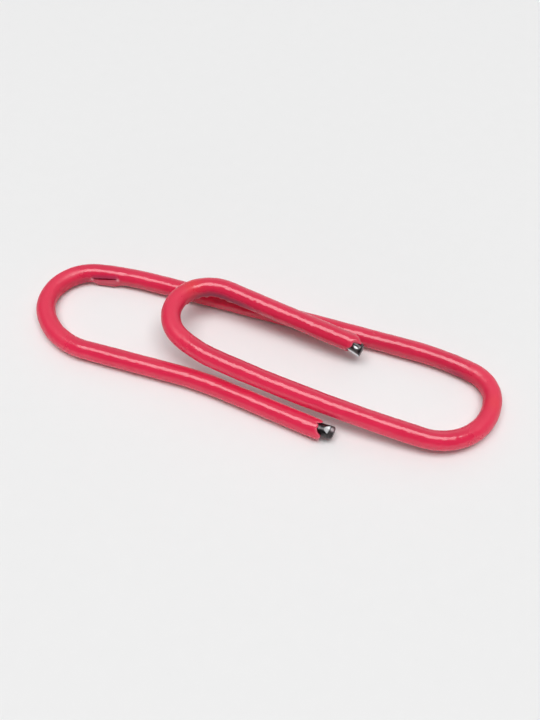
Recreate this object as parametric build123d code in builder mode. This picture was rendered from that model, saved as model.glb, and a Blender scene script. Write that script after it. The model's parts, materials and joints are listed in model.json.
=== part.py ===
"""Vinyl-coated wire paper clip: a steel wire core in a plastic sleeve, bent into an outer and an inner loop.

The wire is one piece on the real clip. It springs open by twisting at the foot, the round end between the
two loops, so the core and the sleeve are each divided square across the wire at the foot's tip. The inner
loop then turns about the wire's own line there. All sizes are in millimetres and degrees.

The clip lies along X with the foot at +X and the head, the large round end, at -X. The back leg is on the
+Y side and Z = 0 is the table.
"""

import os
from math import radians

from build123d import *

# Wire and sleeve
wire_diameter = 0.86
sleeve_wall = 0.22
sleeve_fit = 0.01  # radial room between the wire and the sleeve's bore
wire_tip_chamfer = 0.1

# Foot: the round end at +X, where the two loops meet, with a gentle shoulder before the back leg
foot_tip_length = 0.1  # straight stretch on each side of the foot's tip
foot_back_radius = 2.36
foot_back_angle = 73.9
foot_shoulder_radius = 18.4
foot_shoulder_angle = 13.4
foot_front_radius = 3.86
foot_front_angle = 91.2

# Inner loop: its leg, a shoulder, the tongue's bend and the tongue that ends inside the clip
inner_leg_length = 14.22
inner_leg_bow_angle = 7.4
tongue_shoulder_radius = 8.45
tongue_shoulder_angle = 19.5
tongue_bend_radius = 2.68
tongue_bend_angle = 160.5
tongue_length = 9.56
tongue_bare_length = 0.6
tongue_gap = 0.26  # room between the raised tongue and the back leg

# Outer loop: the back leg, a shoulder, the head and the front leg that flares out to its free end
head_eye_length = 5.28  # how much longer the back leg is than the inner leg
back_leg_bow_angle = 1.5
head_shoulder_radius = 20.0
head_shoulder_angle = 10.8
head_back_angle = 111.8
head_front_radius = 4.87
head_front_angle = 57.5
front_leg_length = 6.64
flare_radius = 22.35
flare_angle = 8.8
front_end_length = 6.88
front_bare_length = 1.03
front_gap = 0.32  # room between the front leg and the inner leg

# Sizes that follow from the driving ones
bore_diameter = wire_diameter + 2 * sleeve_fit
sleeve_diameter = bore_diameter + 2 * sleeve_wall
back_leg_length = inner_leg_length + head_eye_length

# Which stretches of a centre line, in its order, make up each leg
back_leg_stretches = slice(2, 4)
front_leg_stretches = slice(7, None)
tongue_stretches = slice(3, None)


def bend(previous, radius, angle):
    """An arc that carries on from the end of the previous stretch. A positive angle turns left."""
    return JernArc(previous @ 1, previous % 1, radius, angle)


def bowed_leg(previous, length, bow_angle):
    """A leg that bends gently all along its length."""
    return bend(previous, length / radians(abs(bow_angle)), bow_angle)


def straight_leg(previous, length):
    """A straight stretch that carries on from the end of the previous one."""
    return Line(previous @ 1, previous @ 1 + (previous % 1) * length)


def outer_path(plane, head_back_radius, end_length):
    """Centre line of the outer loop, from the foot's tip over the back leg and the head to the free end."""
    with BuildLine(plane) as path:
        tip = Line((0, 0), (0, foot_tip_length))
        foot = bend(tip, foot_back_radius, foot_back_angle)
        shoulder = bend(foot, foot_shoulder_radius, foot_shoulder_angle)
        back_leg = bowed_leg(shoulder, back_leg_length, back_leg_bow_angle)
        head_shoulder = bend(back_leg, head_shoulder_radius, head_shoulder_angle)
        head_back = bend(head_shoulder, head_back_radius, head_back_angle)
        head_front = bend(head_back, head_front_radius, head_front_angle)
        front_leg = straight_leg(head_front, front_leg_length)
        flare = bend(front_leg, flare_radius, -flare_angle)
        straight_leg(flare, end_length)
    return path.wire()


def inner_path(plane, end_length):
    """Centre line of the inner loop, from the foot's tip over the inner leg and its bend to the tongue."""
    with BuildLine(plane) as path:
        tip = Line((0, 0), (0, -foot_tip_length))
        foot = bend(tip, foot_front_radius, -foot_front_angle)
        inner_leg = bowed_leg(foot, inner_leg_length, -inner_leg_bow_angle)
        shoulder = bend(inner_leg, tongue_shoulder_radius, -tongue_shoulder_angle)
        tongue_bend = bend(shoulder, tongue_bend_radius, -tongue_bend_angle)
        straight_leg(tongue_bend, end_length)
    return path.wire()


def tilted(plane, tilt):
    """The plane of the inner loop: turned about Y so that its far end, at -X, is raised."""
    return plane.rotated((0, tilt, 0))


def smallest_that_clears(distance, low, high, wanted):
    """The smallest value between low and high at which a growing distance reaches the wanted one."""
    halvings = 24
    for _ in range(halvings):
        middle = (low + high) / 2
        if distance(middle) < wanted:
            low = middle
        else:
            high = middle
    return high


def tongue_to_back_leg(tilt):
    """Distance between the centre lines of the tongue with its bend and of the back leg with its shoulder."""
    back_leg = outer_path(Plane.XY, sleeve_diameter, front_end_length).edges()[back_leg_stretches]
    tongue = inner_path(tilted(Plane.XY, tilt), tongue_length).edges()[tongue_stretches]
    return min(stretch.distance_to(part_of_leg) for stretch in tongue for part_of_leg in back_leg)


def front_leg_to_inner_loop(head_back_radius):
    """Distance between the centre lines of the front leg, beyond the head, and of the raised inner loop."""
    front_leg = outer_path(Plane.XY, head_back_radius, front_end_length).edges()[front_leg_stretches]
    inner_loop = inner_path(tilted(Plane.XY, loop_tilt), tongue_length)
    return min(stretch.distance_to(inner_loop) for stretch in front_leg)


# The tongue is raised just enough to lie over the back leg
flat_angle = 0
upright_angle = 90
loop_tilt = smallest_that_clears(tongue_to_back_leg, flat_angle, upright_angle, sleeve_diameter + tongue_gap)

# The head is just wide enough for the front leg to pass the inner leg, and narrower than the leg is long
head_back_radius = smallest_that_clears(
    front_leg_to_inner_loop, sleeve_diameter, back_leg_length, sleeve_diameter + front_gap
)

# The foot's tip, placed so that the clip's box is centred over the origin and rests on Z = 0
flat_outer_box = outer_path(Plane.XY, head_back_radius, front_end_length).bounding_box()
foot_tip = Vector(-flat_outer_box.center().X, -flat_outer_box.center().Y, sleeve_diameter / 2)
outer_plane = Plane(foot_tip)
inner_plane = tilted(outer_plane, loop_tilt)
outer_section = Plane(foot_tip, z_dir=(0, 1, 0))
inner_section = Plane(foot_tip, z_dir=(0, -1, 0))

# Centre lines of the four pieces: the wire runs on past the sleeve at both free ends
outer_sleeve_line = outer_path(outer_plane, head_back_radius, front_end_length)
outer_wire_line = outer_path(outer_plane, head_back_radius, front_end_length + front_bare_length)
inner_sleeve_line = inner_path(inner_plane, tongue_length)
inner_wire_line = inner_path(inner_plane, tongue_length + tongue_bare_length)

os.makedirs("parts", exist_ok=True)

# Steel core of the outer loop
with BuildPart() as outer_loop_wire:
    with BuildSketch(outer_section):
        Circle(wire_diameter / 2)
    sweep(path=outer_wire_line)
    chamfer(edges().filter_by(GeomType.CIRCLE).sort_by_distance(outer_wire_line @ 1)[0], wire_tip_chamfer)
outer_loop_wire.part.label = "outer_loop_wire"
export_step(outer_loop_wire.part, "parts/outer_loop_wire.step")

# Vinyl sleeve of the outer loop
with BuildPart() as outer_loop_sleeve:
    with BuildSketch(outer_section):
        Circle(sleeve_diameter / 2)
        Circle(bore_diameter / 2, mode=Mode.SUBTRACT)
    sweep(path=outer_sleeve_line)
outer_loop_sleeve.part.label = "outer_loop_sleeve"
export_step(outer_loop_sleeve.part, "parts/outer_loop_sleeve.step")

# Steel core of the inner loop
with BuildPart() as inner_loop_wire:
    with BuildSketch(inner_section):
        Circle(wire_diameter / 2)
    sweep(path=inner_wire_line)
    chamfer(edges().filter_by(GeomType.CIRCLE).sort_by_distance(inner_wire_line @ 1)[0], wire_tip_chamfer)
inner_loop_wire.part.label = "inner_loop_wire"
export_step(inner_loop_wire.part, "parts/inner_loop_wire.step")

# Vinyl sleeve of the inner loop
with BuildPart() as inner_loop_sleeve:
    with BuildSketch(inner_section):
        Circle(sleeve_diameter / 2)
        Circle(bore_diameter / 2, mode=Mode.SUBTRACT)
    sweep(path=inner_sleeve_line)
inner_loop_sleeve.part.label = "inner_loop_sleeve"
export_step(inner_loop_sleeve.part, "parts/inner_loop_sleeve.step")
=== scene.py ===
"""The looks of a vinyl-coated wire paper clip, built around its CAD model.

The sleeves are hollow vinyl tubes with the folds, the slit and the torn ends of the real one, and the wires
are steel rods with sheared tips. Lengths are in millimetres until a mesh is made, and angles in degrees.

A place on a loop is given by its distance along the wire from the foot's tip, and by its angle round the
wire: 0 faces the inside of the loop and 90 faces up.
"""

import json

import bmesh
import bpy
import numpy as np
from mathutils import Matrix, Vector


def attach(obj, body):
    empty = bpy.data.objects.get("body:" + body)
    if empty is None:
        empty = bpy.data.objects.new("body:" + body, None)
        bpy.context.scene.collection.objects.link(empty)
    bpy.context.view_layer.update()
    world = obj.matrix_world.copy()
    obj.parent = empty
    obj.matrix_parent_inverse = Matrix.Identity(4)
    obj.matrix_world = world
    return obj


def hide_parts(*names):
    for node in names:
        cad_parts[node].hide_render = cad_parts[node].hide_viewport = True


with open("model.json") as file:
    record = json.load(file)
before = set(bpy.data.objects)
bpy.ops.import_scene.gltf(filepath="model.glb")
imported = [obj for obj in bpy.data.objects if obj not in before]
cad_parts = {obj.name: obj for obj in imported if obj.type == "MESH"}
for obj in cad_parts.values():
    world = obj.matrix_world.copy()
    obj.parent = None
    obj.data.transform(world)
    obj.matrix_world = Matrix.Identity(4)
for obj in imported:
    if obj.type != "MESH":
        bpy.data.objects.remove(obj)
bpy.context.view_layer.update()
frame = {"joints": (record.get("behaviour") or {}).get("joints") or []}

MM = 0.001
foot_tip = np.array(frame["joints"][0]["pos_m"]) / MM

# Wire and sleeve, as in the CAD model
wire_radius = 0.43
sleeve_fit = 0.01
sleeve_wall = 0.22
bore_radius = wire_radius + sleeve_fit
sleeve_radius = bore_radius + sleeve_wall

# Bends of the wire, as in the CAD model
foot_tip_length = 0.1
foot_back_radius = 2.36
foot_back_angle = 73.9
foot_shoulder_radius = 18.4
foot_shoulder_angle = 13.4
foot_front_radius = 3.86
foot_front_angle = 91.2
inner_leg_length = 14.22
inner_leg_bow_angle = 7.4
tongue_shoulder_radius = 8.45
tongue_shoulder_angle = 19.5
tongue_bend_radius = 2.68
tongue_bend_angle = 160.5
tongue_length = 9.56
tongue_bare_length = 0.6
head_eye_length = 5.28
back_leg_length = inner_leg_length + head_eye_length
back_leg_bow_angle = 1.5
head_shoulder_radius = 20.0
head_shoulder_angle = 10.8
head_back_angle = 111.8
head_front_radius = 4.87
head_front_angle = 57.5
front_leg_length = 6.64
flare_radius = 22.35
flare_angle = 8.8
front_end_length = 6.88
front_bare_length = 1.03

# What the CAD model works out from the room between its loops
head_back_radius = 3.0157
loop_tilt = 4.9818

# Fineness of the meshes
sleeve_sides = 120
wire_sides = 64
plain_step = 0.2
fine_step = 0.035
place_digits = 4  # places of rings are rounded, so that none is made twice
bore_stride = 4  # the bore has one ring for so many of the outside
mouth_fine_length = 1.6
wire_step = 0.2
wire_tip_zone = 1.2
wire_tip_rings = 32
wire_face_rings = 32
sleeve_sharp_angle = 40
wire_sharp_angle = 25

# Rows and columns of the pieces' faces on their maps, as (low, high) shares
outside_rows = (0.0, 0.72)
bore_rows = (0.74, 0.9)
end_rows = (0.92, 0.96)
slit_rows = (0.97, 1.0)
first_columns = (0.0, 0.4)
second_columns = (0.5, 0.9)
wire_rows = (0.0, 0.9)
wire_middle_rows = (0.92, 1.0)
tip_columns = (0.0, 0.45)
foot_columns = (0.5, 0.95)
wire_side_share = 0.9  # of the columns, the rest is for the cut end

# The sleeve is drawn thinner round the foot
waist_depth = 0.04
waist_spread = 2.8

# Slow swells of the extruded sleeve, which begin beside the foot's tip
swell_lengths = (0.6, 0.9, 1.4, 2.3, 3.7, 6.1)
swell_height = 0.0019  # of a swell that is 1 mm long
most_swell_lobes = 2
swell_start = 0.2
swell_ease = 2.0

# Small sharp folds where a bend presses the sleeve together
fold_pitch = (0.4, 0.85)
fold_rise = (0.3, 1.0)
fold_wander = 4.0
fold_lean = 0.006
fold_width = 0.26  # share of its pitch
fold_spread = 28.0

# The sleeve's torn mouths
end_zone = 1.2  # how far back the torn edge draws the wall
rim_length = 0.2
rim_roll = 0.07
mouth_depth = 0.6  # how far in the bore is opened
thinnest_wall = 0.03
flap_start = 0.05  # past the nominal end, where flaps begin to bend down to the wire
flap_length = 0.35
flap_film = 0.05
jag_lobes = (7, 11, 17, 23)
jag_height = (0.006, 0.018)

# Marks on the vinyl: how strong they are, from 0 to 1, where they lie and how far they reach
torn_paleness = 0.25
torn_reach = 0.08
# Fold crests: strain whitening and a painted highlight where they catch light
fold_whitening_and_highlight = 0.28
# Painted shade inside the bends: where it lies round the wire and how far it reaches
bend_shade_angle = -8.0
bend_shade_spread = 44.0

# The sleeve never reaches below the table
lowest = 0.002

# Camera: the photograph's viewing angle
camera_azimuth = 16.97
camera_elevation = 52.08
camera_distance = 63.71
camera_target = np.array([0.914, 0.083, 0.66])
focal_pixels = 942.1
long_side_pixels = 720
sensor_width = 36.0


def arc(radius, angle):
    """Length and turn of a round stretch. A positive angle turns left."""
    return radius * np.radians(abs(angle)), np.radians(angle)


def bow(length, angle):
    """Length and turn of a leg that bends gently all along."""
    return length, np.radians(angle)


def straight(length):
    """Length and turn of a straight stretch."""
    return length, 0.0


class CentreLine:
    """A chain of straight and round stretches in a loop's plane, each tangent to the one before.

    The core leans off this line towards one side, more and more over its last millimetre or two.
    """

    def __init__(self, heading, tilt, inside_sign, stretches, lean, lean_angle, lean_length):
        self.lengths = np.array([length for length, turn in stretches])
        self.rates = np.array([turn / length for length, turn in stretches])
        self.starts = np.concatenate([[0.0], np.cumsum(self.lengths)[:-1]])
        self.length = self.lengths.sum()
        turns = self.rates * self.lengths
        self.headings = np.radians(heading) + np.concatenate([[0.0], np.cumsum(turns)[:-1]])
        self.inside_sign = inside_sign
        tilt = np.radians(tilt)
        self.forward = np.array([np.cos(tilt), 0.0, -np.sin(tilt)])
        self.across = np.array([0.0, 1.0, 0.0])
        self.up = np.array([np.sin(tilt), 0.0, np.cos(tilt)])
        self.lean = lean
        self.lean_angle = lean_angle
        self.lean_length = lean_length
        self.corners = np.zeros((len(stretches), 2))
        for index in range(1, len(stretches)):
            self.corners[index] = self.flat_point(index - 1, self.lengths[index - 1])

    def flat_point(self, stretch, run):
        """Point in the loop's plane after a run along a stretch: a chord turned by half the run's turn."""
        half_turn = self.rates[stretch] * run / 2
        chord = run * np.sinc(half_turn / np.pi)
        middle = self.headings[stretch] + half_turn
        return self.corners[stretch] + np.stack([chord * np.cos(middle), chord * np.sin(middle)], -1)

    def at(self, distance):
        """Centre and inside direction at each distance along the wire."""
        stretch = np.clip(np.searchsorted(self.starts, distance, side="right") - 1, 0, None)
        run = distance - self.starts[stretch]
        flat = self.flat_point(stretch, run)
        heading = (self.headings[stretch] + self.rates[stretch] * run)[..., None]
        centre = foot_tip + flat[..., :1] * self.forward + flat[..., 1:] * self.across
        left = np.cos(heading) * self.across - np.sin(heading) * self.forward
        return centre, self.inside_sign * left

    def surface(self, distance, angle, radius):
        """Points at a distance along the wire, an angle round it and a radius from its centre."""
        centre, inside = self.at(distance)
        turn = np.radians(angle)[..., None]
        return centre + radius[..., None] * (np.cos(turn) * inside + np.sin(turn) * self.up)

    def core_surface(self, distance, angle, radius):
        """The same for the core, which leans to one side near the free end."""
        past = np.clip(distance - self.length + self.lean_length, 0, None) / self.lean_length
        shift = self.surface(distance, np.full_like(distance, self.lean_angle), self.lean * past ** 2)
        return self.surface(distance, angle, radius) + shift - self.at(distance)[0]


outer_stretches = [
    straight(foot_tip_length),
    arc(foot_back_radius, foot_back_angle),
    arc(foot_shoulder_radius, foot_shoulder_angle),
    bow(back_leg_length, back_leg_bow_angle),
    arc(head_shoulder_radius, head_shoulder_angle),
    arc(head_back_radius, head_back_angle),
    arc(head_front_radius, head_front_angle),
    straight(front_leg_length),
    arc(flare_radius, -flare_angle),
    straight(front_end_length),
]
inner_stretches = [
    straight(foot_tip_length),
    arc(foot_front_radius, -foot_front_angle),
    bow(inner_leg_length, -inner_leg_bow_angle),
    arc(tongue_shoulder_radius, -tongue_shoulder_angle),
    arc(tongue_bend_radius, -tongue_bend_angle),
    straight(tongue_length),
]
outer_line = CentreLine(
    heading=90, tilt=0, inside_sign=1, stretches=outer_stretches, lean=0.06, lean_angle=34, lean_length=1.8
)
inner_line = CentreLine(
    heading=-90, tilt=loop_tilt, inside_sign=-1, stretches=inner_stretches,
    lean=0.075, lean_angle=-37, lean_length=1.0,
)


def wrapped(angle):
    """The same angle between -180 and 180."""
    return (angle + 180) % 360 - 180


def smooth(share):
    """Eases from 0 to 1."""
    share = np.clip(share, 0, 1)
    return share * share * (3 - 2 * share)


def hump(value, centre, half_width):
    """One at the centre, falling smoothly to nothing at half_width from it."""
    return np.cos(np.clip(np.abs(value - centre) / half_width, 0, 1) * np.pi / 2) ** 2


def between(distance, start, end, ease):
    """One between two places along the wire, easing to nothing outside them."""
    return smooth((distance - start) / ease + 0.5) * smooth((end - distance) / ease + 0.5)


def within(distance, zones):
    """The same for several (start, end, ease) zones together."""
    return sum(between(distance, *zone) for zone in zones)


def spot(distance, angle, place, spot_angle, reach):
    """One at a place on the sleeve, falling to nothing over about its reach."""
    across = np.radians(wrapped(angle - spot_angle)) * sleeve_radius
    return np.exp(-((distance - place) ** 2 + across ** 2) / reach ** 2)


def ring_places(length, fine_zones, fixed):
    """Distances of the rings along a sleeve: close together in the fine zones and wider elsewhere."""
    places = [np.linspace(0, length, int(length / plain_step))]
    for start, end in fine_zones:
        places.append(np.linspace(start, end, int((end - start) / fine_step)))
    places = np.unique(np.concatenate(places).round(place_digits))
    keep = np.concatenate([[True], np.diff(places) > fine_step / 2])
    keep[-1] = True
    return np.unique(np.concatenate([places[keep], fixed]).round(place_digits))


def unevenness(distance, angle, seed):
    """Slow swells of a few thousandths of a millimetre in an extruded sleeve, none at the foot's tip."""
    draw = np.random.default_rng(seed)
    total = np.zeros(np.broadcast(distance, angle).shape)
    for wave_length in swell_lengths:
        phase = draw.uniform(0, 2 * np.pi)
        lobes = draw.integers(0, most_swell_lobes + 1)
        height = swell_height * np.sqrt(wave_length)
        total += height * np.sin(2 * np.pi * distance / wave_length + phase + lobes * np.radians(angle))
    return total * smooth((distance - swell_start) / swell_ease)


class Folds:
    """A row of small sharp folds low on the inside of a bend, where the sleeve is squeezed together."""

    def __init__(self, start, end, start_angle, end_angle, height, seed):
        self.start = start
        self.end = end
        self.start_angle = start_angle
        self.end_angle = end_angle
        self.height = height
        self.seed = seed

    def pattern(self, distance, angle):
        """The folds, up to 1 tall."""
        draw = np.random.default_rng(self.seed)
        total = np.zeros(np.broadcast(distance, angle).shape)
        place = self.start
        while place < self.end:
            pitch = draw.uniform(*fold_pitch)
            rise = draw.uniform(*fold_rise)
            row_angle = np.interp(place, [self.start, self.end], [self.start_angle, self.end_angle])
            middle = row_angle + draw.uniform(-fold_wander, fold_wander)
            lean = draw.uniform(-fold_lean, fold_lean)
            offset = distance - place - lean * (angle - middle)
            total += rise * np.exp(-(offset / (fold_width * pitch)) ** 2) * hump(angle, middle, fold_spread)
            place += pitch
        return total

    def relief(self, distance, angle):
        """How far the folds stand out of the sleeve."""
        return self.height * self.pattern(distance, angle)


class Slit:
    """A cut along the sleeve's wall: where it runs, how its two lips stand apart, and how it is marked."""

    near = 29.1
    far = 31.16
    near_angle = 22.0
    far_angle = 6.0
    upper_lift = 0.03
    lower_sag = 0.12
    fullness = 3  # the higher, the further the cut stays wide towards its ends
    reach = 0.3

    bulge = 0.19
    bulge_near = 28.7
    bulge_far = 31.4
    bulge_ease = 0.85
    bulge_angle = -40.0
    bulge_spread = 52.0

    tear_reach = 0.11
    near_tear_below = 5.0
    far_tear_below = 3.0
    # Painted highlight along the lower lip: its strength, place and spread
    lip_painted_highlight = 0.16
    lip_from_cut = -24.0
    lip_spread = 26.0
    # Painted shade on the wall above the cut: its strength, place and spread
    cut_shade_strength = 0.8
    cut_shade_from_cut = 8.0
    cut_shade_spread = 28.0

    def holds(self, distance):
        """Whether a ring lies between the cut's ends."""
        return (distance > self.near) & (distance < self.far)

    def angle(self, distance):
        """Angle round the wire at which the cut runs."""
        return np.interp(distance, [self.near, self.far], [self.near_angle, self.far_angle])

    def along(self, distance):
        """One beside the cut, easing to nothing past its ends."""
        return between(distance, self.near, self.far, 2 * self.reach)

    def opening(self, distance, from_cut, below):
        """How far a point is drawn round the wire by the gaping of the cut, in degrees."""
        middle = (self.near + self.far) / 2
        share = np.clip(np.abs(distance - middle) / (self.far - self.near) * 2, 0, 1)
        gape = 1 - share ** self.fullness
        fall = np.exp(-np.abs(np.radians(from_cut)) * sleeve_radius / self.reach)
        drawn = gape * fall * np.where(below, -self.lower_sag, self.upper_lift)
        return np.degrees(drawn / sleeve_radius)

    def swell(self, distance, angle):
        """How far the lower lip bulges out."""
        rise = smooth((distance - self.bulge_near) / self.bulge_ease)
        along = rise * smooth((self.bulge_far - distance) / self.bulge_ease)
        return self.bulge * along * hump(angle, self.bulge_angle, self.bulge_spread)

    def pale(self, distance, angle):
        """Vinyl whitened by strain at the cut's two ends, and a painted highlight along its lower lip."""
        tears = spot(distance, angle, self.near, self.near_angle - self.near_tear_below, self.tear_reach)
        tears += spot(distance, angle, self.far, self.far_angle - self.far_tear_below, self.tear_reach)
        lip = hump(angle - self.angle(distance), self.lip_from_cut, self.lip_spread)
        return tears + self.lip_painted_highlight * self.along(distance) * lip

    def shade_above_cut(self, distance, angle):
        """Painted shade on the vinyl above the cut."""
        above = hump(angle - self.angle(distance), self.cut_shade_from_cut, self.cut_shade_spread)
        return self.cut_shade_strength * self.along(distance) * above


def edge_line(length, points, seed):
    """Where a torn sleeve ends at each angle, from a few (angle, distance past its nominal end) points."""
    draw = np.random.default_rng(seed)
    angles, offsets = zip(*points)
    jags = [(lobes, draw.uniform(*jag_height), draw.uniform(0, 2 * np.pi)) for lobes in jag_lobes]

    def edge(angle):
        ragged = sum(height * np.sin(lobes * np.radians(angle) + phase) for lobes, height, phase in jags)
        return length + np.interp(angle, angles, offsets, period=360) + ragged

    return edge


def torn_pale(to_edge):
    """Vinyl whitened by strain along a torn edge."""
    return torn_paleness * np.exp(-to_edge / torn_reach)


def painted_bend_shade(distance, angle, zones):
    """Painted shade on the inside of the bends, in some zones."""
    return within(distance, zones) * hump(angle, bend_shade_angle, bend_shade_spread)


# Orange-tinted patches on the tongue's bend and on the foot, as (distance, angle, reach, strength)
warm_spots = [(28.12, 90.0, 0.75, 0.45), (0.12, 94.0, 0.6, 0.3)]


def warm_tint(points):
    """How far each point of a sleeve is tinted by the warm spots."""
    total = np.zeros(len(points))
    for place, angle, reach, strength in warm_spots:
        middle = inner_line.surface(np.array(place), np.array(angle), np.array(sleeve_radius))
        total += strength * np.exp(-(((points - middle) / reach) ** 2).sum(-1))
    return total


def mesh_object(name, points, groups, fields, sharp_angle):
    """An object from points in millimetres and groups of (faces, places of their corners on the map)."""
    faces = [face for group, _ in groups for face in group.tolist()]
    places = np.concatenate([spots.reshape(-1, 2) for _, spots in groups])
    mesh = bpy.data.meshes.new(name)
    mesh.from_pydata((points * MM).tolist(), [], faces)
    layer = mesh.uv_layers.new(name="OFBake")
    layer.uv.foreach_set("vector", places.astype(np.float32).ravel())
    for field, values in fields.items():
        attribute = mesh.attributes.new(field, "FLOAT", "POINT")
        attribute.data.foreach_set("value", values.astype(np.float32))
    mesh.polygons.foreach_set("use_smooth", np.ones(len(mesh.polygons), bool))
    shell = bmesh.new()
    shell.from_mesh(mesh)
    bmesh.ops.recalc_face_normals(shell, faces=shell.faces)
    shell.to_mesh(mesh)
    shell.free()
    mesh.set_sharp_from_angle(angle=np.radians(sharp_angle))
    obj = bpy.data.objects.new(name, mesh)
    bpy.context.scene.collection.objects.link(obj)
    return obj


def corner_places(columns, rows):
    """Places on the map of the corners of many faces, from each corner's column and row."""
    corners = [np.stack(np.broadcast_arrays(column, row), -1) for column, row in zip(columns, rows)]
    return np.stack(corners, 1)


def strip(first, second, first_share, second_share, band, closing=(None, None)):
    """Faces between two rings of points, mapped to a band of rows. Closing points end an open ring."""
    after = []
    for ring, last in zip((first, second), closing):
        after.append(np.append(ring[1:], ring[0] if last is None else last))
    quads = np.stack([first, after[0], after[1], second], -1)
    low, high = band
    row = low + (high - low) * np.arange(len(first)) / len(first)
    next_row = row + (high - low) / len(first)
    columns = (first_share, first_share, second_share, second_share)
    return quads, corner_places(columns, (row, next_row, next_row, row))


class SleeveGrid:
    """The points of a sleeve's wall: rings along the wire, with a second line of points along the slit."""

    def __init__(self, places, slit):
        around = wrapped(np.arange(sleeve_sides) * 360 / sleeve_sides)
        distance, from_cut = np.meshgrid(places, around, indexing="ij")
        cut_angle = slit.angle(places) if slit else np.zeros(len(places))
        self.places = places
        self.rings = np.arange(len(places))
        self.lip = self.rings[slit.holds(places)] if slit else self.rings[:0]
        self.numbers = np.arange(distance.size).reshape(distance.shape)
        self.closing = self.numbers[:, 0].copy()
        self.closing[self.lip] = distance.size + np.arange(len(self.lip))
        self.distance = np.concatenate([distance.ravel(), places[self.lip]])
        self.angle = np.concatenate([wrapped(from_cut + cut_angle[:, None]).ravel(), cut_angle[self.lip]])
        self.from_cut = np.concatenate([from_cut.ravel(), np.zeros(len(self.lip))])
        self.below_cut = self.from_cut < 0
        self.below_cut[distance.size:] = True


def sleeve_faces(grid, bore_rings, to_bore):
    """The faces of a sleeve: its outside, its bore, its two ends and the two faces of its slit."""
    share = grid.places / grid.places[-1]
    groups = []
    for rings, numbers, band in (
        (grid.rings, np.arange(len(grid.distance)), outside_rows),
        (bore_rings, to_bore, bore_rows),
    ):
        for one, other in zip(rings[:-1], rings[1:]):
            closing = (numbers[grid.closing[one]], numbers[grid.closing[other]])
            rows = (numbers[grid.numbers[one]], numbers[grid.numbers[other]])
            groups.append(strip(*rows, share[one], share[other], band, closing))
    for end, columns in ((0, first_columns), (-1, second_columns)):
        rim = grid.numbers[end]
        groups.append(strip(rim, to_bore[rim], *columns, end_rows))
    if len(grid.lip):
        run = np.arange(grid.lip[0] - 1, grid.lip[-1] + 2)
        low, high = slit_rows
        for lips, columns in ((grid.numbers[run, 0], first_columns), (grid.closing[run], second_columns)):
            along = np.linspace(*columns, len(lips))
            quads = np.stack([lips[:-1], lips[1:], to_bore[lips[1:]], to_bore[lips[:-1]]], -1)
            corners = (along[:-1], along[1:], along[1:], along[:-1])
            groups.append((quads, corner_places(corners, (low, low, high, high))))
    return groups


def build_sleeve(name, line, fine_zones, edge, mouth_flare, flap_share, relief, marks, slit=None):
    """A hollow sleeve from the foot's tip to its torn end. A slit goes right through its wall."""
    grid = SleeveGrid(ring_places(line.length, fine_zones, [slit.near, slit.far] if slit else []), slit)

    # Towards the end each line of points is pulled to its own place on the torn edge
    angle = grid.angle
    pull = smooth((grid.distance - line.length + end_zone) / end_zone)
    distance = grid.distance + pull * (edge(angle) - line.length)
    to_edge = np.clip(edge(angle) - distance, 0, None)

    radius = sleeve_radius + relief(distance, angle)
    radius -= waist_depth * np.exp(-(distance / waist_spread) ** 2)
    if slit:
        angle = angle + slit.opening(distance, grid.from_cut, grid.below_cut)
        radius += slit.swell(distance, angle)
    rounding = np.sqrt(1 - (1 - np.clip(to_edge / rim_length, 0, 1)) ** 2)
    radius -= rim_roll * (1 - rounding)
    bore = bore_radius + mouth_flare * (1 - smooth(to_edge / mouth_depth))
    flap = flap_share * smooth((distance - line.length - flap_start) / flap_length)
    film = np.full_like(distance, wire_radius + flap_film)
    on_wire = line.core_surface(distance, angle, film) - line.surface(distance, angle, radius)
    points = line.surface(distance, angle, radius) + flap[:, None] * on_wire
    thick = radius + flap * (film - radius)
    bore_points = line.core_surface(distance, angle, np.minimum(bore, thick - thinnest_wall))

    # The bore follows the same rings, but fewer of them where nothing happens
    kept = (grid.rings % bore_stride == 0) | (grid.places > line.length - end_zone)
    if slit:
        kept |= (grid.places > slit.near - slit.reach) & (grid.places < slit.far + slit.reach)
    kept[[0, -1]] = True
    used = np.concatenate([grid.numbers[kept].ravel(), grid.closing[grid.lip]])
    to_bore = np.full(len(points), -1)
    to_bore[used] = len(points) + np.arange(len(used))

    all_points = np.concatenate([points, bore_points[used]])
    all_points[:, 2] = np.maximum(all_points[:, 2], lowest)
    fields = {
        "warm": warm_tint(all_points),
        "bore": np.concatenate([np.zeros(len(points)), np.ones(len(used))]),
    }
    for field, values in marks(distance, angle, to_edge).items():
        fields[field] = np.concatenate([values, values[used]])
    groups = sleeve_faces(grid, grid.rings[kept], to_bore)
    return mesh_object(name, all_points, groups, fields, sleeve_sharp_angle)


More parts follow.
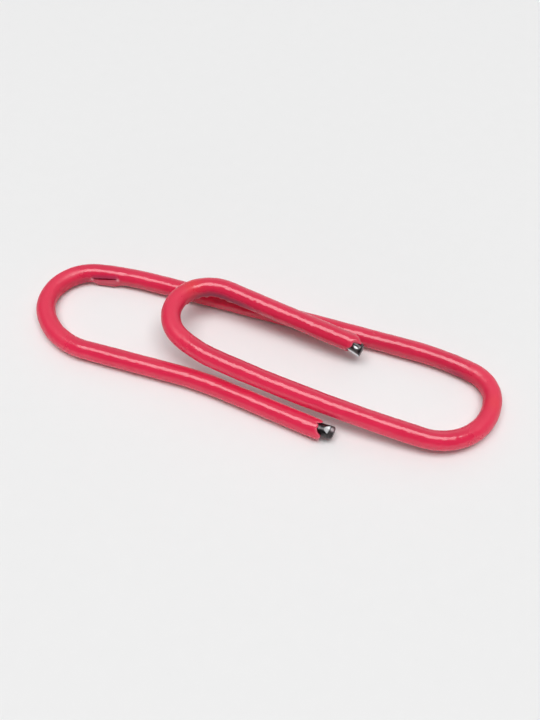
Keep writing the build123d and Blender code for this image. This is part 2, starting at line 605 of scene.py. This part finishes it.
def build_wire(name, line, bare_length, tip, side_brightness, face_brightness, burr=None):
    """A steel rod from the foot's tip to its sheared end.

    The tip gives the end's height over the section, and the burr is what stands out of the rod's side.
    """
    length = line.length + bare_length
    plain_length = length - wire_tip_zone
    plain = np.linspace(0, plain_length, int(plain_length / wire_step))
    places = np.concatenate([plain, np.linspace(plain_length, length, wire_tip_rings)[1:]])
    around = np.arange(wire_sides) * 360 / wire_sides
    inward = wire_radius * np.cos(np.radians(around))
    upward = wire_radius * np.sin(np.radians(around))

    # The rod's side
    distance, angle = np.meshgrid(places, around, indexing="ij")
    pull = np.clip((distance - plain_length) / wire_tip_zone, 0, 1)
    radius = np.full_like(distance, wire_radius)
    if burr:
        radius += burr(distance, wrapped(angle))
    side = line.core_surface(distance + pull * tip(inward, upward), angle, radius)
    points = [side.reshape(-1, 3)]
    brightness = [side_brightness(distance, wrapped(angle)).ravel()]
    rings = list(np.arange(distance.size).reshape(distance.shape))
    shares = list(places / length * wire_side_share)

    # The end's face is a set of smaller and smaller rings that follow the cut
    for step in range(1, wire_face_rings):
        part = 1 - step / wire_face_rings
        height = tip(part * inward, part * upward)
        points.append(line.core_surface(length + height, around, np.full(wire_sides, part * wire_radius)))
        brightness.append(face_brightness(part * inward, part * upward))
        rings.append(rings[-1] + wire_sides)
        shares.append(wire_side_share + (1 - wire_side_share) * step / wire_face_rings)
    groups = []
    for one, other, one_share, other_share in zip(rings[:-1], rings[1:], shares[:-1], shares[1:]):
        groups.append(strip(one, other, one_share, other_share, wire_rows))

    # A centre point closes each end
    nothing = np.zeros(1)
    centre_number = rings[-1][-1] + 1
    cut_middle = length + tip(nothing, nothing)
    edge_row, middle_row = wire_middle_rows
    for ring, place, columns in ((rings[-1], cut_middle, tip_columns), (rings[0], nothing, foot_columns)):
        points.append(line.core_surface(place, nothing, nothing))
        brightness.append(nothing)
        fan = np.stack([ring, np.roll(ring, -1), np.full(wire_sides, centre_number)], -1)
        low, high = columns
        width = (high - low) / wire_sides
        start = low + (high - low) * np.arange(wire_sides) / wire_sides
        corners = (start, start + width, start + width / 2)
        groups.append((fan, corner_places(corners, (edge_row, edge_row, middle_row))))
        centre_number += 1
    fields = {"bright": np.concatenate(brightness)}
    return mesh_object(name, np.concatenate(points), groups, fields, wire_sharp_angle)


def mouth_zone(line):
    """The stretch behind a torn mouth that has finer rings."""
    return line.length - mouth_fine_length, line.length


def rounded_edge(inward, upward, corner):
    """How far a wire's end falls away towards its rim, where its edge is rounded by a corner radius."""
    out = np.clip((np.hypot(inward, upward) - wire_radius + corner) / corner, 0, 1)
    return corner * (1 - np.sqrt(1 - out ** 2))


# Outer sleeve: folds inside the head and the foot, a slit beside the head, a nick and a torn front mouth
slit = Slit()
head_folds = Folds(start=32.2, end=35.0, start_angle=-30, end_angle=-42, height=0.04, seed=22)
foot_folds = Folds(start=1.4, end=3.4, start_angle=-14, end_angle=-34, height=0.03, seed=23)
fold_free_length = 0.6  # beside the foot's tip
fold_free_ease = 0.8
nick_place = 10.12
nick_angle = 97
nick_reach = 0.1
nick_depth = 0.06
front_edge = edge_line(outer_line.length, [
    (-150, 0.30), (-100, 0.10), (-40, -0.10), (20, -0.06), (44, 0.12), (58, 0.22), (72, 0.10), (88, -0.14),
    (98, 0.02), (120, 0.04), (140, 0.07), (156, 0.26), (168, 0.38),
], seed=11)

# Its bends, as (start, end, ease), and where its rings are finer, as (start, end)
outer_stretched = [(-9.0, 3.4, 2.4), (32.1, 40.4, 2.4)]
# Zones of painted shade inside the outer sleeve's bends
outer_bend_shade = [(1.6, 4.6, 2.0), (31.6, 35.0, 1.6)]
outer_fine_zones = [(1.0, 3.8), (9.8, 10.4), (28.4, 36.0), mouth_zone(outer_line)]


def outer_relief(distance, angle):
    """Swells, folds and the small nick of the outer sleeve."""
    swells = unevenness(distance, angle, seed=21)
    past_tip = smooth((distance - fold_free_length) / fold_free_ease)
    folds = head_folds.relief(distance, angle) + foot_folds.relief(distance, angle) * past_tip
    return swells + folds - nick_depth * spot(distance, angle, nick_place, nick_angle, nick_reach)


def outer_marks(distance, angle, to_edge):
    """Where the outer sleeve is whitened (edge, folds, slit), has painted highlight (folds, slit), is
    stretched dull with painted light (bends) and has painted shade (bends, slit).
    """
    # Fold crests are partly whitened by strain and partly given a painted highlight
    pale = torn_pale(to_edge) + fold_whitening_and_highlight * head_folds.pattern(distance, angle)
    painted_shade = painted_bend_shade(distance, angle, outer_bend_shade)
    return {
        "pale": np.clip(pale + slit.pale(distance, angle), 0, 1),
        "stretched": within(distance, outer_stretched),
        "painted_shade": np.maximum(painted_shade, slit.shade_above_cut(distance, angle)),
    }


# Inner sleeve: folds inside the tongue's bend, and a torn mouth with a tapered flap over the tongue's tip
tongue_folds = Folds(start=27.3, end=31.6, start_angle=-26, end_angle=-44, height=0.075, seed=32)
tongue_edge = edge_line(inner_line.length, [
    (-150, -0.25), (-100, -0.30), (-60, -0.36), (-44, -0.28), (-30, -0.42), (4, -0.29), (24, -0.13),
    (44, -0.07), (66, -0.09), (76, 0.08), (84, 0.28), (94, 0.46), (104, 0.36), (118, 0.14), (130, -0.08),
    (150, -0.25),
], seed=12)

# Its bends, as (start, end, ease), and where its rings are finer, as (start, end)
inner_stretched = [(-9.0, 3.2, 2.4), (22.4, 28.1, 2.4)]
# Zones of painted shade inside the tongue's bend
inner_bend_shade = [(27.0, 33.0, 2.4)]
inner_fine_zones = [(25.6, 32.2), mouth_zone(inner_line)]


def inner_relief(distance, angle):
    """Swells and folds of the inner sleeve."""
    return unevenness(distance, angle, seed=31) + tongue_folds.relief(distance, angle)


def inner_marks(distance, angle, to_edge):
    """Where the inner sleeve is whitened (edge, folds), has painted highlight (folds), is stretched dull
    with painted light (bends) and has painted shade (bends).
    """
    # Fold crests are partly whitened by strain and partly given a painted highlight
    pale = torn_pale(to_edge) + fold_whitening_and_highlight * tongue_folds.pattern(distance, angle)
    return {
        "pale": np.clip(pale, 0, 1),
        "stretched": within(distance, inner_stretched),
        "painted_shade": painted_bend_shade(distance, angle, inner_bend_shade),
    }


# Front wire: a chisel cut with a steep bright bevel, a ridge, a gentler brow below it, and a flat end
front_facing = np.radians(104)
front_ridge = 0.31
front_ridge_height = -0.25
front_bevel_slope = 1 / np.tan(np.radians(18.5))
front_brow_slope = np.tan(np.radians(42))
front_corner = 0.14
front_burr_brightness = 1.8
front_burr_below = 0.13
front_burr_aside = 0.14
front_burr_reach = 0.1
front_bevel_brightness = 0.15
front_bevel_fade = 0.6
front_bevel_border = 0.03
scored_brightness = 0.6


def over_ridge(inward, upward):
    """Distance above the front wire's ridge, which lies across the section."""
    return inward * np.cos(front_facing) + upward * np.sin(front_facing) - front_ridge


def front_tip(inward, upward):
    """Height of the front wire's cut."""
    over = over_ridge(inward, upward)
    bevel = front_ridge_height - over * front_bevel_slope
    brow = front_ridge_height - over * front_brow_slope
    return np.minimum(np.minimum(bevel, brow), -rounded_edge(inward, upward, front_corner))


def front_face_brightness(inward, upward):
    """Fresh metal on the front wire's bevel and on a small burr beyond its ridge."""
    over = over_ridge(inward, upward)
    sideways = inward * np.sin(front_facing) - upward * np.cos(front_facing)
    from_burr = np.hypot(over + front_burr_below, sideways - front_burr_aside)
    burr = front_burr_brightness * np.exp(-(from_burr / front_burr_reach) ** 2)
    fresh = front_bevel_brightness - front_bevel_fade * np.clip(over, 0, None)
    return np.clip(np.clip(over / front_bevel_border, 0, 1) * fresh + burr, 0, 1)


def front_side_brightness(distance, angle):
    """The outer wire is scored bright under the slit, and dark elsewhere."""
    return scored_brightness * between(distance, slit.near, slit.far, slit.reach)


# Tongue wire: nearly square and dished, with its upper edge rolled over, a burr below and a rubbed spot
tongue_dish = 0.06
tongue_dish_share = 0.8  # of the wire's radius
tongue_roll = 0.10
tongue_roll_angle = 90
tongue_roll_spread = 120
tongue_corner = 0.05
tongue_face_tone = 0.05
tongue_burr_angle = -34
tongue_burr_spread = 16
tongue_burr_height = 0.09
tongue_burr_start = 0.4  # before the sleeve's nominal end
tongue_burr_ease = 0.3
rubbed_place = 40.68
rubbed_length = 0.36
rubbed_angle = 43
rubbed_spread = 23
rubbed_tilt = 0.11
rubbed_brightness = 0.42


def tongue_tip(inward, upward):
    """Height of the tongue wire's cut."""
    from_middle = np.hypot(inward, upward) / wire_radius
    dish = tongue_dish * np.clip(1 - (from_middle / tongue_dish_share) ** 2, 0, None)
    upper = hump(np.degrees(np.arctan2(upward, inward)), tongue_roll_angle, tongue_roll_spread)
    rolled = tongue_roll * smooth((from_middle - tongue_dish_share) / (1 - tongue_dish_share)) * upper
    return -dish - rolled - rounded_edge(inward, upward, tongue_corner)


def tongue_face_brightness(inward, upward):
    """The tongue wire's cut has dulled."""
    return np.full_like(inward, tongue_face_tone)


def rubbed(distance, angle):
    """One in the middle of the rubbed spot, falling to nothing round it."""
    return hump(distance, rubbed_place, rubbed_length) * hump(angle, rubbed_angle, rubbed_spread)


def tongue_burr(distance, angle):
    """A small fin of metal along the tongue wire's lower edge, and the rubbed spot's tilted face."""
    along = smooth((distance - inner_line.length + tongue_burr_start) / tongue_burr_ease)
    fin = tongue_burr_height * along * hump(angle, tongue_burr_angle, tongue_burr_spread)
    return fin - rubbed_tilt * (angle - rubbed_angle) / rubbed_spread * rubbed(distance, angle)


def tongue_side_brightness(distance, angle):
    """The tongue wire is bright along the burr and in the rubbed spot, and dark elsewhere."""
    fin = hump(angle, tongue_burr_angle + tongue_burr_spread / 2, tongue_burr_spread)
    return np.clip(fin + rubbed_brightness * rubbed(distance, angle), 0, 1)


outer_sleeve = build_sleeve(
    "outer_sleeve", outer_line, outer_fine_zones, front_edge, mouth_flare=0.11, flap_share=0.1,
    relief=outer_relief, marks=outer_marks, slit=slit,
)
inner_sleeve = build_sleeve(
    "inner_sleeve", inner_line, inner_fine_zones, tongue_edge, mouth_flare=0.03, flap_share=0.8,
    relief=inner_relief, marks=inner_marks,
)
outer_wire = build_wire(
    "outer_wire", outer_line, front_bare_length, front_tip, front_side_brightness, front_face_brightness
)
inner_wire = build_wire(
    "inner_wire", inner_line, tongue_bare_length, tongue_tip, tongue_side_brightness, tongue_face_brightness,
    burr=tongue_burr,
)


class NodeTree:
    """Adds nodes to a material or world and links them, one call for each node."""

    def __init__(self, owner):
        owner.use_nodes = True
        self.tree = owner.node_tree
        self.tree.nodes.clear()

    def fill(self, socket, value):
        """Gives a socket a value, with full alpha if it is a colour, or links it to another socket."""
        if isinstance(value, bpy.types.NodeSocket):
            self.tree.links.new(value, socket)
        elif socket.type == "RGBA":
            socket.default_value = (*value, 1)
        else:
            socket.default_value = value

    def add(self, kind, settings=None, **inputs):
        """A node of that kind. Inputs are values or other nodes' sockets, by name with _ for spaces."""
        node = self.tree.nodes.new("ShaderNode" + kind)
        for key, value in (settings or {}).items():
            setattr(node, key, value)
        for key, value in inputs.items():
            self.fill(node.inputs[key.replace("_", " ")], value)
        return node

    def field(self, name):
        """A value kept on the mesh's points."""
        return self.add("Attribute", {"attribute_name": name}).outputs["Fac"]

    def noise(self, place, **inputs):
        """A cloudy pattern, from 0 to 1."""
        return self.add("TexNoise", Vector=place, **inputs).outputs["Fac"]

    def spread(self, value, **limits):
        """A value moved from one range to another, and held within it."""
        return self.add("MapRange", Value=value, **limits).outputs["Result"]

    def ramp(self, value, low, low_colour, high, high_colour):
        """A colour that runs from one to another between two values."""
        node = self.add("ValToRGB", Fac=value)
        stops = ((low, low_colour), (high, high_colour))
        for element, (position, colour) in zip(node.color_ramp.elements, stops):
            element.position = position
            element.color = (*colour, 1)
        return node.outputs["Color"]

    def blend(self, share, one, other):
        """A mix of two colours."""
        node = self.add("Mix", {"data_type": "RGBA"})
        colours = [socket for socket in node.inputs if socket.type == "RGBA"]
        self.fill(node.inputs[0], share)
        self.fill(colours[0], one)
        self.fill(colours[1], other)
        return [socket for socket in node.outputs if socket.type == "RGBA"][0]

    def math(self, operation, *values):
        """A sum, product or the like of values and sockets."""
        node = self.add("Math", {"operation": operation})
        for socket, value in zip(node.inputs, values):
            self.fill(socket, value)
        return node.outputs["Value"]

    def vector_math(self, operation, *vectors):
        """The length or product of vectors, as one number."""
        node = self.add("VectorMath", {"operation": operation})
        for socket, vector in zip(node.inputs, vectors):
            self.fill(socket, vector)
        return node.outputs["Value"]

    def seen_rays(self):
        """One for rays that show a surface: to the camera, in a reflection or through something clear."""
        rays = self.add("LightPath").outputs
        mirrored = self.math("MAXIMUM", rays["Is Glossy Ray"], rays["Is Transmission Ray"])
        return self.math("MAXIMUM", rays["Is Camera Ray"], mirrored)

    def mixed_shaders(self, share, one, other):
        """A mix of two shaders."""
        node = self.add("MixShader", Fac=share)
        self.fill(node.inputs[1], one)
        self.fill(node.inputs[2], other)
        return node.outputs["Shader"]


# Colours of the vinyl
deep_red = (0.670, 0.018, 0.066)
clear_red = (0.730, 0.023, 0.078)
# Painted shade: a dark red for the inside of the bends and the wall above the slit
painted_shade_red = (0.36, 0.018, 0.078)
# Painted light: a lighter red for the bends, which catch more light, on vinyl also stretched dull there
stretched_painted_light_red = (0.77, 0.024, 0.078)
warm_red = (0.80, 0.05, 0.03)
# Pale pink of strain whitening, and of painted highlights on fold crests and the slit's lower lip
whitening_and_highlight_pink = (0.90, 0.36, 0.44)
# Painted shade: a darker red inside the bore, seen through the slit and the mouths
shaded_bore_red = (0.50, 0.030, 0.075)

# How unevenly the vinyl dulls in its bends
patchiness = 1.6
dull_from = 1.0
dull_to = 1.8


def vinyl_material():
    """Satin pink-red vinyl with a fine uneven skin: mottled, dull in its bends, whitened by strain, and with
    painted light, painted highlights and painted shade.
    """
    material = bpy.data.materials.new("vinyl")
    nodes = NodeTree(material)
    place = nodes.add("TexCoord").outputs["Object"]
    slow = nodes.noise(place, Scale=320.0, Detail=3.0, Roughness=0.55)
    fine = nodes.noise(place, Scale=2600.0, Detail=2.0, Roughness=0.5)
    bent = nodes.math("ADD", nodes.field("stretched"), nodes.field("painted_shade"))
    patchy = nodes.math("MULTIPLY_ADD", fine, patchiness, bent)
    dull = nodes.spread(patchy, From_Min=dull_from, From_Max=dull_to)
    red = nodes.ramp(slow, low=0.3, low_colour=deep_red, high=0.7, high_colour=clear_red)
    # Painted shade darkens the inside of the bends and the wall above the slit
    painted_shade = nodes.blend(nodes.field("painted_shade"), red, painted_shade_red)
    # Painted light lightens the bends, which the same mask makes stretched dull
    stretched = nodes.blend(nodes.field("stretched"), painted_shade, stretched_painted_light_red)
    warmed = nodes.blend(nodes.field("warm"), stretched, warm_red)
    # Strain whitening, and painted highlights on fold crests and the slit's lower lip
    whitened_and_highlit = nodes.blend(nodes.field("pale"), warmed, whitening_and_highlight_pink)
    # Painted shade inside the bore
    colour = nodes.blend(nodes.field("bore"), whitened_and_highlit, shaded_bore_red)
    glossy = nodes.spread(fine, To_Min=0.10, To_Max=0.18)
    satin = nodes.spread(dull, To_Min=glossy, To_Max=0.42)
    rough = nodes.spread(nodes.field("painted_shade"), To_Min=satin, To_Max=0.62)
    skin = nodes.add("Bump", Strength=0.55, Distance=0.05 * MM, Height=fine).outputs["Normal"]
    shader = nodes.add("BsdfPrincipled", Base_Color=colour, Roughness=rough, IOR=1.58, Normal=skin)
    nodes.add("OutputMaterial", Surface=shader.outputs["BSDF"])
    return material


# Colours of the steel: its dark skin and its fresh cuts, each from stained to clean
stained_skin = (0.040, 0.038, 0.040)
clean_skin = (0.110, 0.104, 0.104)
stained_cut = (0.72, 0.75, 0.78)
clean_cut = (0.82, 0.85, 0.87)
die_line_scale = (60.0, 90.0, 1.0)  # along and round the wire, on its map


def steel_material():
    """Drawn steel wire with fine die lines along it: a dark skin, and bright metal where it is fresh cut."""
    material = bpy.data.materials.new("steel")
    nodes = NodeTree(material)
    mapped = nodes.add("UVMap", {"uv_map": "OFBake"}).outputs["UV"]
    stretched = nodes.add("Mapping", Vector=mapped, Scale=die_line_scale).outputs["Vector"]
    lines = nodes.noise(stretched, Scale=1.0, Detail=4.0, Roughness=0.65)
    stains = nodes.noise(nodes.add("TexCoord").outputs["Object"], Scale=2600.0, Detail=3.0)
    dark = nodes.ramp(stains, low=0.35, low_colour=stained_skin, high=0.65, high_colour=clean_skin)
    fresh = nodes.ramp(stains, low=0.35, low_colour=stained_cut, high=0.65, high_colour=clean_cut)
    colour = nodes.blend(nodes.field("bright"), dark, fresh)
    rough = nodes.spread(lines, To_Min=0.22, To_Max=0.38)
    scored = nodes.add("Bump", Strength=0.25, Distance=0.02 * MM, Height=lines).outputs["Normal"]
    shader = nodes.add("BsdfPrincipled", Base_Color=colour, Metallic=1.0, Roughness=rough, Normal=scored)
    nodes.add("OutputMaterial", Surface=shader.outputs["BSDF"])
    return material


# The floor's own light is slight round the clip, where the shadows are, and all of its tone far away
floor_glow = 0.06
floor_near = 60.0
floor_far = 260.0
floor_half = 1500.0
floor_grey = (0.856, 0.856, 0.856)
floor_white = (0.870, 0.870, 0.870)


def floor_material():
    """Matt pale paper with a hint of grain, and some light of its own where it is seen or reflected."""
    material = bpy.data.materials.new("pale_floor")
    nodes = NodeTree(material)
    place = nodes.add("TexCoord").outputs["Object"]
    grain = nodes.noise(place, Scale=900.0, Detail=2.0)
    tone = nodes.ramp(grain, low=0.0, low_colour=floor_grey, high=1.0, high_colour=floor_white)
    paper = nodes.add("BsdfDiffuse", Color=tone)
    glow = nodes.add("Emission", Color=tone, Strength=1.0)
    far = nodes.spread(
        nodes.vector_math("LENGTH", place),
        From_Min=floor_near * MM, From_Max=floor_far * MM, To_Min=floor_glow, To_Max=1.0,
    )
    share = nodes.math("MULTIPLY", nodes.seen_rays(), far)
    mixed = nodes.mixed_shaders(share, paper.outputs["BSDF"], glow.outputs["Emission"])
    nodes.add("OutputMaterial", Surface=mixed)
    return material


vinyl = vinyl_material()
steel = steel_material()
for piece, body, node, slot, material in (
    (outer_sleeve, "outer_loop", "outer_loop_sleeve", "sleeve", vinyl),
    (inner_sleeve, "inner_loop", "inner_loop_sleeve", "sleeve", vinyl),
    (outer_wire, "outer_loop", "outer_loop_wire", "wire", steel),
    (inner_wire, "inner_loop", "inner_loop_wire", "wire", steel),
):
    piece.data.materials.append(material)
    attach(piece, body)
    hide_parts(node)

# Floor
floor_side = floor_half * MM
floor_corners = [(x * floor_side, y * floor_side, 0.0) for x, y in ((-1, -1), (1, -1), (1, 1), (-1, 1))]
floor_mesh = bpy.data.meshes.new("floor")
floor_mesh.from_pydata(floor_corners, [], [(0, 1, 2, 3)])
floor_mesh.materials.append(floor_material())
floor = bpy.data.objects.new("floor", floor_mesh)
bpy.context.scene.collection.objects.link(floor)

# Lights
lamp_distance = 600.0


def direction(azimuth, elevation):
    """Unit vector from the clip towards something seen at that azimuth and elevation."""
    azimuth, elevation = np.radians([azimuth, elevation])
    flat = np.cos(elevation)
    return np.array([np.sin(azimuth) * flat, -np.cos(azimuth) * flat, np.sin(elevation)])


def soft_light(name, azimuth, elevation, width, height, share, in_reflections):
    """A panel that faces the clip. A small one with a share of 1 shows colours that face it as written."""
    towards = direction(azimuth, elevation)
    light = bpy.data.lights.new(name, "AREA")
    light.shape = "RECTANGLE"
    light.size = width * MM
    light.size_y = height * MM
    light.energy = share * np.pi ** 2 * (lamp_distance * MM) ** 2
    lamp = bpy.data.objects.new(name, light)
    lamp.location = towards * lamp_distance * MM
    lamp.rotation_euler = Vector(towards).to_track_quat("Z", "Y").to_euler()
    lamp.visible_camera = False
    lamp.visible_glossy = in_reflections
    bpy.context.scene.collection.objects.link(lamp)


soft_light("key_light", azimuth=14, elevation=82, width=660, height=325, share=0.93, in_reflections=True)
soft_light(
    "back_light", azimuth=camera_azimuth + 180, elevation=60, width=1200, height=900, share=0.40,
    in_reflections=True,
)
soft_light(
    "front_fill", azimuth=camera_azimuth, elevation=3, width=900, height=60, share=0.36,
    in_reflections=False,
)

# World: dim light, a pale backdrop where it is seen, and reflections that darken up and to the front left
surround_strength = 0.07
pale = (0.863, 0.863, 0.863)
dim = (0.12, 0.12, 0.12)
pale_side = (0.7, 1.0, -1.0)
pale_from = 0.6
world = bpy.data.worlds.new("studio")
bpy.context.scene.world = world
nodes = NodeTree(world)
surround = nodes.add("Background", Color=(1, 1, 1), Strength=surround_strength)
towards_pale = nodes.vector_math("DOT_PRODUCT", nodes.add("TexCoord").outputs["Generated"], pale_side)
reflected = nodes.ramp(towards_pale, low=0.0, low_colour=dim, high=pale_from, high_colour=pale)
backdrop_tone = nodes.blend(nodes.add("LightPath").outputs["Is Camera Ray"], reflected, pale)
backdrop = nodes.add("Background", Color=backdrop_tone, Strength=1.0)
studio = nodes.mixed_shaders(
    nodes.seen_rays(), surround.outputs["Background"], backdrop.outputs["Background"]
)
nodes.add("OutputWorld", Surface=studio)

# Camera
camera_data = bpy.data.cameras.new("camera")
camera_data.sensor_width = sensor_width
camera_data.lens = focal_pixels / long_side_pixels * sensor_width
camera_data.clip_start = 1 * MM
camera_data.clip_end = 10.0
camera = bpy.data.objects.new("camera", camera_data)
towards_camera = direction(camera_azimuth, camera_elevation)
camera.location = (camera_target + camera_distance * towards_camera) * MM
camera.rotation_euler = Vector(towards_camera).to_track_quat("Z", "Y").to_euler()
bpy.context.scene.collection.objects.link(camera)
bpy.context.scene.camera = camera

bpy.context.scene.view_settings.view_transform = "Standard"
